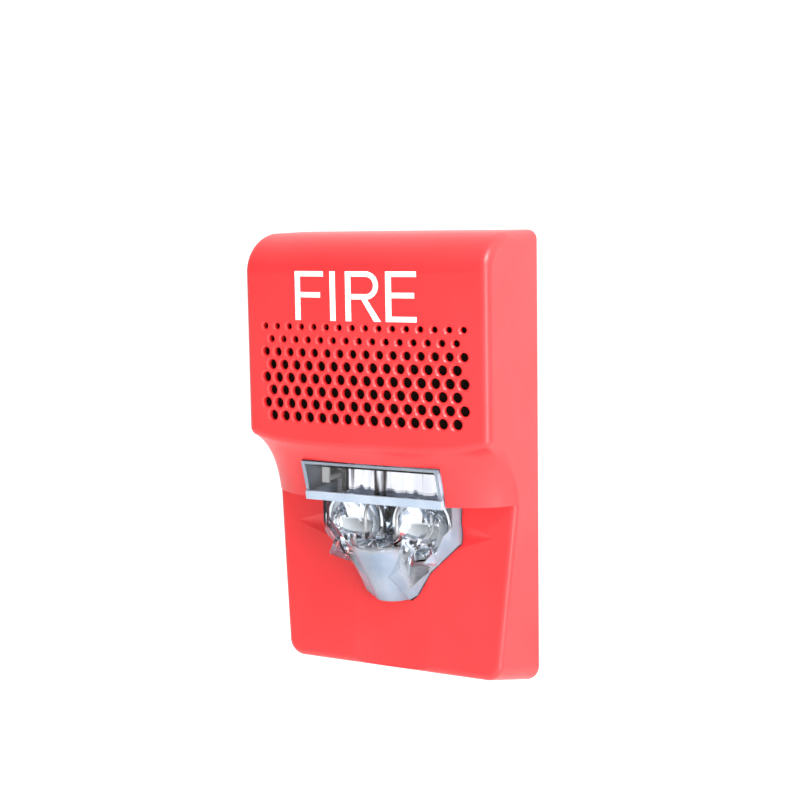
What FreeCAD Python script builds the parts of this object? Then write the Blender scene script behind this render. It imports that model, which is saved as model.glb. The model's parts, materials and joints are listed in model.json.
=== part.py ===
import FreeCAD, Part
import math
import os
import re

import Sketcher

# Wall-mounted horn strobe for a fire alarm.
# Origin: centre of the mounting plate's rear face, on the wall. X to the right as seen
# from the front, Y into the wall (the object stands in front of it, at negative Y), Z up.
# Two groups move apart: the mounting plate stays on the wall, the signal unit hangs on it
# and swings open about two pegs at the top.

os.makedirs("parts", exist_ok=True)
doc = FreeCAD.newDocument("horn_strobe")
Vector = FreeCAD.Vector
FRONT = Vector(0, -1, 0)

# --------------------------------------------------------------------------------------
# Driving dimensions, millimetres
# --------------------------------------------------------------------------------------
dims = doc.addObject("Spreadsheet::Sheet", "dims")
DIMENSIONS = {
    # cover, outside
    "cover_front": 36.5,          # front of the hood ahead of the wall
    "cover_top": 70.9,            # half height above the origin
    "cover_bottom": 71.0,
    "cover_gap": 1.0,             # cover's rear edge ahead of the wall
    "cover_wall": 2.0,
    "cover_half": 43.3,           # half width on the wall
    "side_draft": 1.0,            # loss of half width from the wall to the hood's front
    "bow_radius": 349.0,          # plan radius of the hood's bowed front
    "crown_deep": 16.5,           # elliptical rounding at the top
    "crown_high": 12.0,
    "edge_round": 3.0,
    "rim_high": 5.8,              # hood's lower rim, in the middle
    "rim_lift": 2.8,              # how far that rim rises at the sides
    "brow_low": 12.0,             # brow's lower edge below the origin
    "brow_front": 28.3,
    "brow_corner_start": 24.0,
    "brow_corner_radius": 22.0,
    "panel_top_front": 16.1,
    "panel_foot_front": 19.3,
    "panel_foot": 62.0,           # height below the origin where the foot sizes hold
    "side_bevel": 4.5,            # loss of the panel's half width there
    "foot_rise": 4.0,             # rise of the slanted underside
    "corner_round": 5.5,
    "panel_round": 2.2,
    "groove_half": 12.5,
    "groove_deep": 1.2,
    # grille
    "hole_pitch": 4.6,
    "row_pitch": 4.0,
    "first_row": 42.5,
    "countersink_deep": 0.45,
    "countersink_wide": 0.5,
    "cloth_thick": 0.4,
    "cloth_gap": 0.1,
    # legend
    "letter_low": 44.6,
    "letter_high": 15.0,
    "letter_thick": 0.15,
    "letter_stem": 1.85,          # width of upright strokes
    "letter_bar": 1.6,            # height of level strokes
    # lens window
    "window_half": 24.4,
    "window_top": 0.4,
    "scoop_tip": 37.5,            # side scoops beside the lens
    "scoop_lean": 25.3,           # degrees; the difference is the slope of the scoop's floor
    "scoop_spread": 30.0,
    "scoop_low": 22.4,
    "lens_gap": 0.4,
    # hinge
    "pivot_front": 2.0,
    "pivot_high": 68.6,
    "peg_radius": 1.0,
    "hinge_gap": 0.3,
    "hook_thick": 1.1,
    "hook_place": 24.0,
    "peg_length": 8.0,
    "hook_width": 6.0,
    # mounting plate
    "plate_thick": 2.0,
    "plate_half": 37.0,
    "plate_top": 65.4,
    "plate_bottom": 65.8,
    "plate_round": 4.0,
    "box_spacing": 83.3,
    "box_hole": 2.2,
    "entry_half": 19.0,
    "entry_low": 31.0,
    "entry_high": 8.0,
    "tongue_half": 6.0,
    # terminal block
    "terminal_pitch": 10.16,
    "block_half": 21.0,
    "block_low": 13.0,
    "block_high": 29.4,
    "block_front": 10.5,
    "screw_place": 19.0,
    "thread_radius": 1.5,
    "run_gap": 0.05,
    # circuit board
    "board_rear": 11.0,
    "board_thick": 1.6,
    "board_half": 36.0,
    "board_top": 61.0,
    "board_foot": 61.0,
    "boss_radius": 2.6,
    "board_screw_radius": 1.1,
    "boss_x": 32.5,
    "boss_high": 53.0,
    "boss_low": 51.0,
    # strobe head
    "lens_wall": 1.5,
    "bowl_radius": 11.0,
    "bowl_place": 11.8,
    "bowl_high": 20.0,
    "bowl_thick": 0.8,
    "bowl_rim": 19.5,
    "tube_radius": 1.6,
    "tube_half": 5.0,
    "tube_front": 23.9,
    "tube_low": 24.0,
    # sounder
    "sounder_high": 28.5,
    "sounder_radius": 16.5,
    "sounder_deep": 16.0,
    "diaphragm_radius": 14.0,
    # capacitor
    "can_radius": 6.3,
    "can_length": 32.0,
    "can_high": 54.0,
}
for row, (alias, size) in enumerate(DIMENSIONS.items(), start=1):
    dims.set("A%d" % row, alias)
    dims.set("B%d" % row, str(size))
    dims.setAlias("B%d" % row, alias)
doc.recompute()


def size_of(alias):
    """A driving dimension's value, read from the sheet."""
    return float(dims.get(alias))


def link(formula):
    """Turn a formula in driving dimensions into a document expression."""
    return re.sub(r"[a-z]+_[a-z_]+", lambda word: "dims." + word.group(0), str(formula))


def bind(thing, **formulas):
    """Bind properties of a document object to formulas in the driving dimensions."""
    for name, formula in formulas.items():
        thing.setExpression(name, link(formula))


def place(thing, x="0", y="0", z="0"):
    """Bind the place of an object to three formulas."""
    thing.setExpression("Placement.Base.x", link(x))
    thing.setExpression("Placement.Base.y", link(y))
    thing.setExpression("Placement.Base.z", link(z))


# --------------------------------------------------------------------------------------
# Builders shared by the sub-parts
# --------------------------------------------------------------------------------------
finished = {}


def finish(thing, label):
    """Name a finished sub-part."""
    thing.Label = label
    finished[label] = thing
    return thing


def block(name, x_range, y_range, z_range):
    """A bound Part::Box between two formulas on each axis."""
    box = doc.addObject("Part::Box", name)
    low_high = (x_range, y_range, z_range)
    for side, (low, high) in zip(("Length", "Width", "Height"), low_high):
        box.setExpression(side, link("(%s) - (%s)" % (high, low)))
    place(box, x_range[0], y_range[0], z_range[0])
    return box


AXIS_TURN = {
    "X": FreeCAD.Rotation(Vector(0, 1, 0), 90),
    "Y": FreeCAD.Rotation(Vector(1, 0, 0), -90),
    "Z": FreeCAD.Rotation(),
}


def rod(name, radius, start, length, axis):
    """A bound Part::Cylinder from a start point along one axis."""
    cylinder = doc.addObject("Part::Cylinder", name)
    bind(cylinder, Radius=radius, Height=length)
    cylinder.Placement = FreeCAD.Placement(Vector(), AXIS_TURN[axis])
    place(cylinder, *start)
    return cylinder


def fuse(name, pieces):
    joined = doc.addObject("Part::MultiFuse", name)
    joined.Shapes = pieces
    joined.Refine = True
    return joined


def cut(name, base, tools):
    """Cut one or more tools out of a base."""
    result = doc.addObject("Part::Cut", name)
    result.Base = base
    result.Tool = tools[0] if len(tools) == 1 else fuse(name + "_tools", tools)
    return result


def group(name, pieces):
    """Identical loose pieces kept as separate solids of one sub-part."""
    together = doc.addObject("Part::Compound", name)
    together.Links = pieces
    return together


def shaped(name, shape):
    """A Part::Feature for a form that no sketch or primitive gives."""
    feature = doc.addObject("Part::Feature", name)
    feature.Shape = shape
    feature.Placement = FreeCAD.Placement()
    return feature


def origin_plane(body, role):
    return next(item for item in body.Origin.OriginFeatures if item.Role == role)


def sketch_on(body, role, name, lift="0"):
    """A sketch on one of the body's own origin planes, lifted along its normal."""
    sketch = body.newObject("Sketcher::SketchObject", name)
    sketch.AttachmentSupport = (origin_plane(body, role), "")
    sketch.MapMode = "FlatFace"
    sketch.setExpression("AttachmentOffset.Base.z", link(lift))
    return sketch


def pin_point(sketch, geometry, point, x_formula, y_formula):
    """Fix a sketch point with two bound distances from the sketch's origin."""
    for kind, formula in (("DistanceX", x_formula), ("DistanceY", y_formula)):
        index = sketch.addConstraint(Sketcher.Constraint(kind, geometry, point, 1.0))
        sketch.setExpression("Constraints[%d]" % index, link(formula))


def add_outline(sketch, corners):
    """A closed polygon whose corners are pairs of formulas."""
    count = len(corners)
    first = sketch.GeometryCount
    for index in range(count):
        angle = 2 * math.pi * index / count
        after = 2 * math.pi * (index + 1) / count
        start = Vector(math.cos(angle), math.sin(angle), 0)
        end = Vector(math.cos(after), math.sin(after), 0)
        sketch.addGeometry(Part.LineSegment(start, end), False)
    for index in range(count):
        following = first + (index + 1) % count
        sketch.addConstraint(Sketcher.Constraint("Coincident", first + index, 2, following, 1))
    for index, (x_formula, y_formula) in enumerate(corners):
        pin_point(sketch, first + index, 1, x_formula, y_formula)


def add_rectangle(sketch, x_range, y_range):
    corners = [(x_range[0], y_range[0]), (x_range[1], y_range[0])]
    corners += [(x_range[1], y_range[1]), (x_range[0], y_range[1])]
    add_outline(sketch, corners)


def add_circle(sketch, x_formula, y_formula, radius):
    index = sketch.addGeometry(Part.Circle(Vector(), Vector(0, 0, 1), 1.0), False)
    pin_point(sketch, index, 3, x_formula, y_formula)
    constraint = sketch.addConstraint(Sketcher.Constraint("Radius", index, 1.0))
    sketch.setExpression("Constraints[%d]" % constraint, link(radius))


def pad(body, sketch, length):
    """Pad a sketch along its normal (towards the front for one on the XZ plane)."""
    feature = body.newObject("PartDesign::Pad", sketch.Name + "_pad")
    feature.Profile = sketch
    bind(feature, Length=length)
    body.Tip = feature
    return feature


def round_edges(body, name, chosen, radius):
    """Fillet the edges of a body for which chosen(edge) is true."""
    doc.recompute()
    tip = body.Tip
    edges = ["Edge%d" % i for i, edge in enumerate(tip.Shape.Edges, start=1) if chosen(edge)]
    feature = body.newObject("PartDesign::Fillet", name)
    feature.Base = (tip, edges)
    bind(feature, Radius=radius)
    body.Tip = feature


def runs_along_y(edge):
    box = edge.BoundBox
    return edge.Curve.TypeId == "Part::GeomLine" and box.YLength > 0.9 * edge.Length


def turned(label, profile, axis):
    """A turned sub-part: a profile of (radius, distance along the axis) formulas."""
    body = doc.addObject("PartDesign::Body", label + "_body")
    role = "XZ_Plane" if axis == "Z" else "XY_Plane"
    sketch = sketch_on(body, role, label + "_profile")
    if axis == "X":
        profile = [(along, radius) for radius, along in profile]
    add_outline(sketch, profile)
    feature = body.newObject("PartDesign::Revolution", label + "_turn")
    feature.Profile = sketch
    feature.ReferenceAxis = (sketch, ["H_Axis" if axis == "X" else "V_Axis"])
    feature.Angle = 360
    body.Tip = feature
    return finish(body, label)


# --------------------------------------------------------------------------------------
# Cover: bowed hood with the grille, cove with the lens window, lower panel
# --------------------------------------------------------------------------------------
COVER_FRONT = -size_of("cover_front")
COVER_REAR = -size_of("cover_gap")
COVER_WALL = size_of("cover_wall")
BOW_RADIUS = size_of("bow_radius")
BROW_Z = -size_of("brow_low")
FAR = 100.0


def bow(x):
    """How far the hood's bowed front falls back at x."""
    return x * x / (2 * BOW_RADIUS)


def brow_corner(x):
    """How far the brow's corner falls back beyond the bow at x."""
    radius = size_of("brow_corner_radius")
    reach = max(0.0, abs(x) - size_of("brow_corner_start"))
    reach = min(reach, 0.97 * radius)
    return radius - math.sqrt(radius * radius - reach * reach)


def side_half(y):
    """Half width of the cover's drafted side at depth y."""
    return size_of("cover_half") - size_of("side_draft") * y / COVER_FRONT


def solid_bow(inset, low_z):
    """The hood's side profile turned about an upright axis far behind the wall."""
    front = COVER_FRONT + inset
    top = size_of("cover_top") - inset
    deep = size_of("crown_deep") - inset
    high = size_of("crown_high") - inset
    rear = 10.0
    crown = Vector(0, front + deep, top - high)
    start = Vector(0, front, top - high)
    end = Vector(0, front + deep, top)
    ellipse = Part.Ellipse(start, Vector(0, front + deep, top), crown)
    rounding = Part.ArcOfEllipse(ellipse, 0, math.pi / 2).toShape()
    edges = [
        Part.makeLine(Vector(0, front, low_z), start),
        rounding,
        Part.makeLine(end, Vector(0, rear, top + 0.4)),
        Part.makeLine(Vector(0, rear, top + 0.4), Vector(0, rear, low_z)),
        Part.makeLine(Vector(0, rear, low_z), Vector(0, front, low_z)),
    ]
    profile = Part.Face(Part.Wire(edges))
    axis = Vector(0, COVER_FRONT + BOW_RADIUS, 0)
    profile.rotate(axis, Vector(0, 0, 1), -9)
    return profile.revolve(axis, Vector(0, 0, 1), 18)


def closed_wire(points):
    return Part.makePolygon(points + [points[0]])


def upright_prism(inset, low_z, high_z):
    """Between the two drafted sides."""
    sections = []
    for y in (COVER_FRONT - 5, 10.0):
        half = side_half(y) - inset
        corners = [(-half, low_z), (half, low_z), (half, high_z), (-half, high_z)]
        sections.append(closed_wire([Vector(x, y, z) for x, z in corners]))
    return Part.makeLoft(sections, True, True)


def cove_point(x, share, inset):
    """A point of the cove: share 0 on the hood's rim, 1 on the brow's lower edge."""
    side = min(1.0, abs(x) / 42.0)
    rim = (COVER_FRONT + bow(x), size_of("rim_high") + size_of("rim_lift") * side ** 4)
    low = (bow(x) + brow_corner(x) - size_of("brow_front"), BROW_Z)
    middle = (low[0] - 3.0, rim[1] - 2.9 - 1.6 * side ** 2)
    rim = (rim[0], rim[1] + inset)
    middle = (middle[0] + 0.8 * inset, middle[1] + 0.8 * inset)
    low = (low[0] + inset, low[1])
    weights = ((1 - share) ** 2, 2 * share * (1 - share), share ** 2)
    y = sum(w * point[0] for w, point in zip(weights, (rim, middle, low)))
    z = sum(w * point[1] for w, point in zip(weights, (rim, middle, low)))
    return Vector(x, y, z)


def before_cove(inset):
    """The space in front of the cove, down to the brow's lower edge."""
    reach, columns, rows = 46.0, 47, 13
    grid = []
    for column in range(columns):
        x = -reach + 2 * reach * column / (columns - 1)
        grid.append([cove_point(x, row / (rows - 1), inset) for row in range(rows)])
    surface = Part.BSplineSurface()
    surface.interpolate(grid)
    return surface.toShape().extrude(FRONT * 40)


def hood(inset, floor):
    """Upper part of the cover as a solid, from the brow up."""
    solid = solid_bow(inset, BROW_Z - 20).common(upright_prism(inset, BROW_Z - 40, FAR))
    solid = solid.cut(before_cove(inset))
    return solid.cut(Part.makeBox(2 * FAR, 2 * FAR, FAR, Vector(-FAR, -FAR, BROW_Z + floor - FAR)))


def panel_front(z):
    """Depth of the lower panel's front at height z."""
    share = (BROW_Z - z) / (BROW_Z + size_of("panel_foot"))
    return -size_of("panel_top_front") - share * (size_of("panel_foot_front") - size_of("panel_top_front"))


def panel_section(z, inset, rear):
    share = (BROW_Z - z) / (BROW_Z + size_of("panel_foot"))
    front = panel_front(z) + inset
    half_front = side_half(panel_front(z)) - share * size_of("side_bevel") - inset
    half_rear = side_half(COVER_REAR) - inset
    if rear > COVER_REAR:
        slope = (half_rear - half_front) / (COVER_REAR - front)
        half_rear += slope * (rear - COVER_REAR)
    corners = [(-half_front, front), (half_front, front), (half_rear, rear), (-half_rear, rear)]
    return closed_wire([Vector(x, y, z) for x, y in corners])


def panel(inset, top_z, rear):
    """Lower part of the cover as a solid, with its slanted underside."""
    low = -size_of("cover_bottom") + inset
    ends = [panel_section(top_z, inset, rear), panel_section(low - 1, inset, rear)]
    solid = Part.makeLoft(ends, True, True)
    rise = size_of("foot_rise") / (size_of("panel_foot_front") - size_of("cover_gap"))
    heel = Vector(-FAR, COVER_REAR + 10, low - 10 * rise)
    toe = Vector(-FAR, COVER_REAR - 40, low + 40 * rise)
    below = [heel, toe, Vector(-FAR, toe.y, -FAR), Vector(-FAR, heel.y, -FAR)]
    return solid.cut(Part.Face(closed_wire(below)).extrude(Vector(2 * FAR, 0, 0)))


def fillet(solid, radius, chosen):
    return solid.makeFillet(radius, [edge for edge in solid.Edges if chosen(edge)])


def middle_of(edge):
    return edge.valueAt((edge.FirstParameter + edge.LastParameter) / 2)


def on_hood_side(edge):
    """Edges between a side and the front or the crown."""
    box, point = edge.BoundBox, middle_of(edge)
    on_side = abs(point.x) > 42 and box.XLength < 1.5
    return on_side and point.y > COVER_FRONT and box.YMin < COVER_REAR - 2 and point.z > 9


def on_cove_side(edge):
    point = middle_of(edge)
    return abs(point.x) > 42 and -11 < point.z < 9 and edge.BoundBox.ZLength > 15 and point.y < -10


def on_foot_corner(edge):
    point = middle_of(edge)
    return abs(point.x) > 37 and point.z < -66 and edge.BoundBox.YLength > 10


def on_panel_front(edge):
    """The panel's front edges, down both sides and along the foot."""
    point, box = middle_of(edge), edge.BoundBox
    return box.YMax < panel_front(BROW_Z) + 1 and point.z < BROW_Z - 1 and box.ZMin < BROW_Z - 1


def outer_cover():
    """The cover's outside as one solid, roundings included."""
    behind = Part.makeBox(2 * FAR, FAR, 2 * FAR, Vector(-FAR, COVER_REAR, -FAR))
    upper = fillet(hood(0, 0).cut(behind), size_of("edge_round"), on_hood_side)
    upper = fillet(upper, size_of("edge_round") - 0.1, on_cove_side)
    lower = fillet(panel(0, BROW_Z, COVER_REAR), size_of("corner_round"), on_foot_corner)
    lower = fillet(lower, size_of("panel_round"), on_panel_front)
    return upper.fuse(lower).cut(gouge(0))


def inner_cover():
    """The space inside the cover."""
    upper = hood(COVER_WALL, COVER_WALL)
    lower = panel(COVER_WALL, BROW_Z + COVER_WALL, 8.0)
    return upper.fuse(lower.cut(gouge(COVER_WALL)))


def gouge(radius_extra):
    """The shallow upright groove down the panel below the lens."""
    deep, half = size_of("groove_deep"), size_of("groove_half")
    radius = (half * half + deep * deep) / (2 * deep)
    z_top, z_low = -20.0, -FAR
    top = Vector(0, panel_front(z_top) + deep - radius, z_top)
    low = Vector(0, panel_front(z_low) + deep - radius, z_low)
    return Part.makeCylinder(radius + radius_extra, (low - top).Length, top, low - top)


def side_scoops():
    """A shallow scoop on each side of the lens that runs out towards the panel's edge."""
    scoops = []
    z, length = -size_of("scoop_low"), 20.0
    lean, spread = math.radians(size_of("scoop_lean")), math.radians(size_of("scoop_spread"))
    under_brow = Part.makeBox(2 * FAR, FAR, FAR, Vector(-FAR, -FAR, BROW_Z - 1.5 - FAR))
    for side in (-1, 1):
        tip = Vector(side * size_of("scoop_tip"), panel_front(z) - 0.2, z)
        way = Vector(side * math.cos(lean), math.sin(lean), 0)
        cone = Part.makeCone(length * math.tan(spread), 0, length, tip - way * length, way)
        scoops.append(cone.common(under_brow))
    return scoops


def lens_outline(spread):
    """Shield-shaped outline of the lens on the panel, grown by spread: (x, z) corners."""
    half = size_of("window_half") + spread
    right = [(half, -25.5), (14.0 + spread, -35.4), (9.4 + spread, -43.0), (7.0 + spread, -45.0 - spread)]
    left = [(-x, z) for x, z in reversed(right)]
    return [(half, BROW_Z + 1.0)] + right + left + [(-half, BROW_Z + 1.0)]


def along_y(outline, y_start, y_end):
    """A prism of an (x, z) outline between two depths."""
    wire = closed_wire([Vector(x, y_start, z) for x, z in outline])
    return Part.Face(wire).extrude(Vector(0, y_end - y_start, 0))


def lens_window():
    """The opening round the lens: a window in the cove and a shield in the panel."""
    half, top = size_of("window_half"), size_of("window_top")
    upper = Part.makeBox(2 * half, 40, top - BROW_Z + 0.5, Vector(-half, -45, BROW_Z - 0.5))
    return upper.fuse(along_y(lens_outline(0), -45, -5))


# Hole radius in each row of the grille, from the top
GRILLE_RADII = (1.0, 1.1, 1.4, 1.6, 1.65, 1.65, 1.65, 1.65)
LONG_ROW = 16


def grille_places():
    """Middle and radius of every grille hole: staggered rows, 16 and 15 by turns."""
    places = []
    for row, radius in enumerate(GRILLE_RADII):
        count = LONG_ROW - row % 2
        z = size_of("first_row") - row * size_of("row_pitch")
        for index in range(count):
            places.append(((index - (count - 1) / 2) * size_of("hole_pitch"), z, radius))
    return places


def hole_cutter(x, z, radius):
    """A countersunk hole's cutter, square to the bowed front."""
    sink, extra, proud = size_of("countersink_deep"), size_of("countersink_wide"), 0.1
    mouth = radius + extra * (sink + proud) / sink
    corners = [(0, -proud), (mouth, -proud), (radius, sink), (radius, 7), (0, 7)]
    profile = Part.Face(closed_wire([Vector(wide, deep, 0) for wide, deep in corners]))
    cutter = profile.revolve(Vector(), Vector(0, 1, 0), 360)
    cutter.rotate(Vector(), Vector(0, 1, 0), 270)
    cutter.rotate(Vector(), Vector(0, 0, 1), math.degrees(x / BOW_RADIUS))
    cutter.translate(Vector(x, COVER_FRONT + bow(x), z))
    return cutter


def closed_over(shell, places):
    """The places where the bowed wall still has a face across the hole's middle."""
    walls = [face for face in shell.Faces if face.Surface.TypeId == "Part::GeomCylinder"
             and face.Surface.Radius > BOW_RADIUS - 5 and face.Area > 500]
    left = []
    for place in places:
        middle = Vector(place[0], COVER_FRONT + bow(place[0]), place[1])
        if any(face.isPartOfDomain(*face.Surface.parameter(middle)) for face in walls):
            left.append(place)
    return left


def drill(shell, places):
    """Cut the grille's holes row by row and make sure that each one is open."""
    for z in sorted({place[1] for place in places}):
        shell = shell.cut([hole_cutter(*place) for place in places if place[1] == z])
    if closed_over(shell, places):
        raise ValueError("grille holes still closed: %s" % closed_over(shell, places))
    return shell


def hinge_hooks():
    """Two hooks that reach round the plate's pegs from the front."""
    gap = size_of("peg_radius") + size_of("hinge_gap")
    thick, width = size_of("hook_thick"), size_of("hook_width")
    front, high = -size_of("pivot_front"), size_of("pivot_high")
    hooks = []
    for side in (-1, 1):
        x = side * size_of("hook_place") - width / 2
        finger_low = high - gap - thick
        corner = Vector(x, front - gap - thick, finger_low)
        finger = Part.makeBox(width, thick, 71.0 - 0.6 - finger_low, corner)
        foot = Part.makeBox(width, gap + thick + 0.1, thick, Vector(x, front - gap - thick, finger_low))
        hooks.append(finger.fuse(foot))
    return hooks


def hinge_notches():
    """Room in the top wall for the pegs and their necks."""
    gap = size_of("peg_radius") + size_of("hinge_gap")
    front, high = -size_of("pivot_front"), size_of("pivot_high")
    wide = size_of("peg_length") + 1.0
    tools = []
    for side in (-1, 1):
        x = side * size_of("hook_place") - wide / 2
        axis_start = Vector(x, front, high)
        tools.append(Part.makeCylinder(gap, wide, axis_start, Vector(1, 0, 0)))
        tools.append(Part.makeBox(wide, 4, 2 * gap, Vector(x, front, high - gap)))
    return tools


def board_bosses():
    """Four hollow bosses from the cover's inside to the circuit board."""
    board_front = -size_of("board_rear") - size_of("board_thick")
    radius, pilot = size_of("boss_radius"), size_of("board_screw_radius") + size_of("run_gap")
    solids, pilots = [], []
    for x in (-size_of("boss_x"), size_of("boss_x")):
        for z, reach in ((size_of("boss_high"), 22.0), (-size_of("boss_low"), 4.6)):
            start = Vector(x, board_front, z)
            solids.append(Part.makeCylinder(radius, reach, start, FRONT))
            depth = 8.0 if reach > 8 else reach - 1.4
            pilots.append(Part.makeCylinder(pilot, depth, start, FRONT))
    return solids, pilots


def latch_window():
    half = size_of("tongue_half") - 1.0
    return Part.makeBox(2 * half, 3.0, 8, Vector(-half, -9.0, -72))


def front_cover():
    outer = outer_cover()
    shell = outer.cut(inner_cover()).cut(side_scoops())
    bosses, pilots = board_bosses()
    shell = shell.fuse([boss.common(outer) for boss in bosses])
    shell = shell.cut(hinge_notches())
    shell = shell.fuse([hook.common(outer) for hook in hinge_hooks()])
    shell = shell.cut([lens_window(), latch_window()] + pilots)
    return drill(shell, grille_places())


def letter_outlines():
    """Plain block letters of the legend: lists of (x, z) outlines from the left."""
    low, high = size_of("letter_low"), size_of("letter_low") + size_of("letter_high")
    stem, bar = size_of("letter_stem"), size_of("letter_bar")
    middle = (low + high) / 2
    letters = []
    x = -22.3
    arm = x + 10.4
    letters.append([(x, low), (x + stem, low), (x + stem, middle - 0.5), (arm - 1.2, middle - 0.5),
                    (arm - 1.2, middle - 0.5 + bar), (x + stem, middle - 0.5 + bar),
                    (x + stem, high - bar), (arm, high - bar), (arm, high), (x, high)])
    x = -9.5
    letters.append([(x, low), (x + stem, low), (x + stem, high), (x, high)])
    x = 9.8
    arm = x + 10.1
    letters.append([(x, low), (arm, low), (arm, low + bar), (x + stem, low + bar),
                    (x + stem, middle - 0.4), (arm - 0.7, middle - 0.4), (arm - 0.7, middle - 0.4 + bar),
                    (x + stem, middle - 0.4 + bar), (x + stem, high - bar), (arm, high - bar),
                    (arm, high), (x, high)])
    return letters


def letter_r():
    """The R: a stem, a half-round bowl and a slanting leg, as one solid prism."""
    low, high = size_of("letter_low"), size_of("letter_low") + size_of("letter_high")
    stem, bar = size_of("letter_stem"), size_of("letter_bar")
    x, depth = -4.0, 12.0
    bowl_low = low + 6.6
    outer = (high - bowl_low) / 2
    centre = Vector(x + 11.3 - outer, COVER_FRONT - 2, bowl_low + outer)
    back = FRONT * -depth

    def ring(radius, inset):
        round_end = Part.makeCylinder(radius, depth, centre, back)
        left = x + inset
        width = centre.x - left
        corner = Vector(left, centre.y, centre.z - radius)
        return round_end.fuse(Part.makeBox(width, depth, 2 * radius, corner))

    bowl = ring(outer, 0).cut(ring(outer - bar, stem))
    post = Part.makeBox(stem, depth, high - low, Vector(x, centre.y, low))
    leg = along_y([(x + 5.3, bowl_low + 0.4), (x + 9.8, low), (x + 12.1, low), (x + 7.2, bowl_low + 0.4)],
                  centre.y, centre.y + depth)
    return post.fuse([bowl, leg])


def fire_legend():
    """Four thin letters lying on the bowed face."""
    thick = size_of("letter_thick")
    skin = solid_bow(-thick, 0).cut(solid_bow(0, -1))
    prisms = [along_y(outline, COVER_FRONT - 2, COVER_FRONT + 10) for outline in letter_outlines()]
    prisms.append(letter_r())
    return Part.makeCompound([prism.common(skin) for prism in prisms])


def grille_cloth():
    """A thin bowed sheet of black cloth behind the holes."""
    start = COVER_WALL + size_of("cloth_gap")
    sheet = solid_bow(start, 0).cut(solid_bow(start + size_of("cloth_thick"), -1))
    return sheet.common(Part.makeBox(76, 20, 36, Vector(-38, -36, 10.6)))


finish(shaped("front_cover", front_cover()), "front_cover")
finish(shaped("fire_legend", fire_legend()), "fire_legend")
finish(shaped("grille_cloth", grille_cloth()), "grille_cloth")

# --------------------------------------------------------------------------------------
# Mounting plate, fixed to the electrical box
# --------------------------------------------------------------------------------------


def mounting_plate():
    body = doc.addObject("PartDesign::Body", "plate_body")
    outline = sketch_on(body, "XZ_Plane", "plate_outline")
    add_rectangle(outline, ("-plate_half", "plate_half"), ("-plate_bottom", "plate_top"))
    add_rectangle(outline, ("-entry_half", "entry_half"), ("-entry_low", "entry_high"))
    add_rectangle(outline, ("-block_half - run_gap", "block_half + run_gap"),
                  ("block_low - run_gap", "block_high + run_gap"))
    add_circle(outline, "0", "box_spacing / 2", "box_hole")
    add_circle(outline, "0", "-box_spacing / 2", "box_hole")
    pad(body, outline, "plate_thick")
    long_corner = lambda edge: runs_along_y(edge) and abs(middle_of(edge).x) > 30
    round_edges(body, "plate_corners", long_corner, "plate_round")
    rim = sketch_on(body, "XZ_Plane", "plate_rim", "plate_thick")
    rim_half, rim_thick = "(plate_half - 3)", 1.5
    add_rectangle(rim, ("-" + rim_half, rim_half), ("-plate_bottom + 4", "plate_top - 4"))
    add_rectangle(rim, ("-%s + %s" % (rim_half, rim_thick), "%s - %s" % (rim_half, rim_thick)),
                  ("-plate_bottom + 5.5", "plate_top - 5.5"))
    pad(body, rim, "3")
    pieces = [body]
    for name, side in (("left", "-"), ("right", "")):
        start = side + "hook_place - peg_length / 2"
        end = side + "hook_place + peg_length / 2"
        pieces.append(block(name + "_peg_neck", (start, end),
                            ("-pivot_front + 0.4", "0"), ("plate_top - 1", "pivot_high")))
        centre = (start, "-pivot_front", "pivot_high")
        pieces.append(rod(name + "_peg", "peg_radius", centre, "peg_length", "X"))
    tongue = ("-tongue_half", "tongue_half")
    pieces.append(block("latch_tongue", tongue, ("-8.8", "-1"), ("-plate_bottom", "-plate_bottom + 1")))
    barb = ("-tongue_half + 2", "tongue_half - 2")
    pieces.append(block("latch_barb", barb, ("-8.8", "-7.6"), ("-plate_bottom - 0.7", "-plate_bottom + 1")))
    for side in ("-", ""):
        nut = "%s(block_half + 3)" % side
        pieces.append(rod("ear_post" + ("_left" if side else "_right"), "2.4",
                          (nut, "-plate_thick - 1.4", "21.2"), "1.5", "Y"))
    pilots = []
    for side in ("-", ""):
        nut = "%s(block_half + 3)" % side
        pilots.append(rod("ear_pilot" + ("_left" if side else "_right"), "0.95 + run_gap",
                          (nut, "-plate_thick - 2", "21.2"), "6", "Y"))
    return cut("plate", fuse("plate_solid", pieces), pilots)


finish(mounting_plate(), "mounting_plate")

# --------------------------------------------------------------------------------------
# Terminal block: four rising-cage terminals and the jaws that the unit's pins enter
# --------------------------------------------------------------------------------------
TERMINALS = (1, 2, 3, 4)


def terminal_x(number):
    return "(%s) * terminal_pitch" % (number - 2.5)


def around(centre, half):
    return ("%s - %s" % (centre, half), "%s + %s" % (centre, half))


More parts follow.
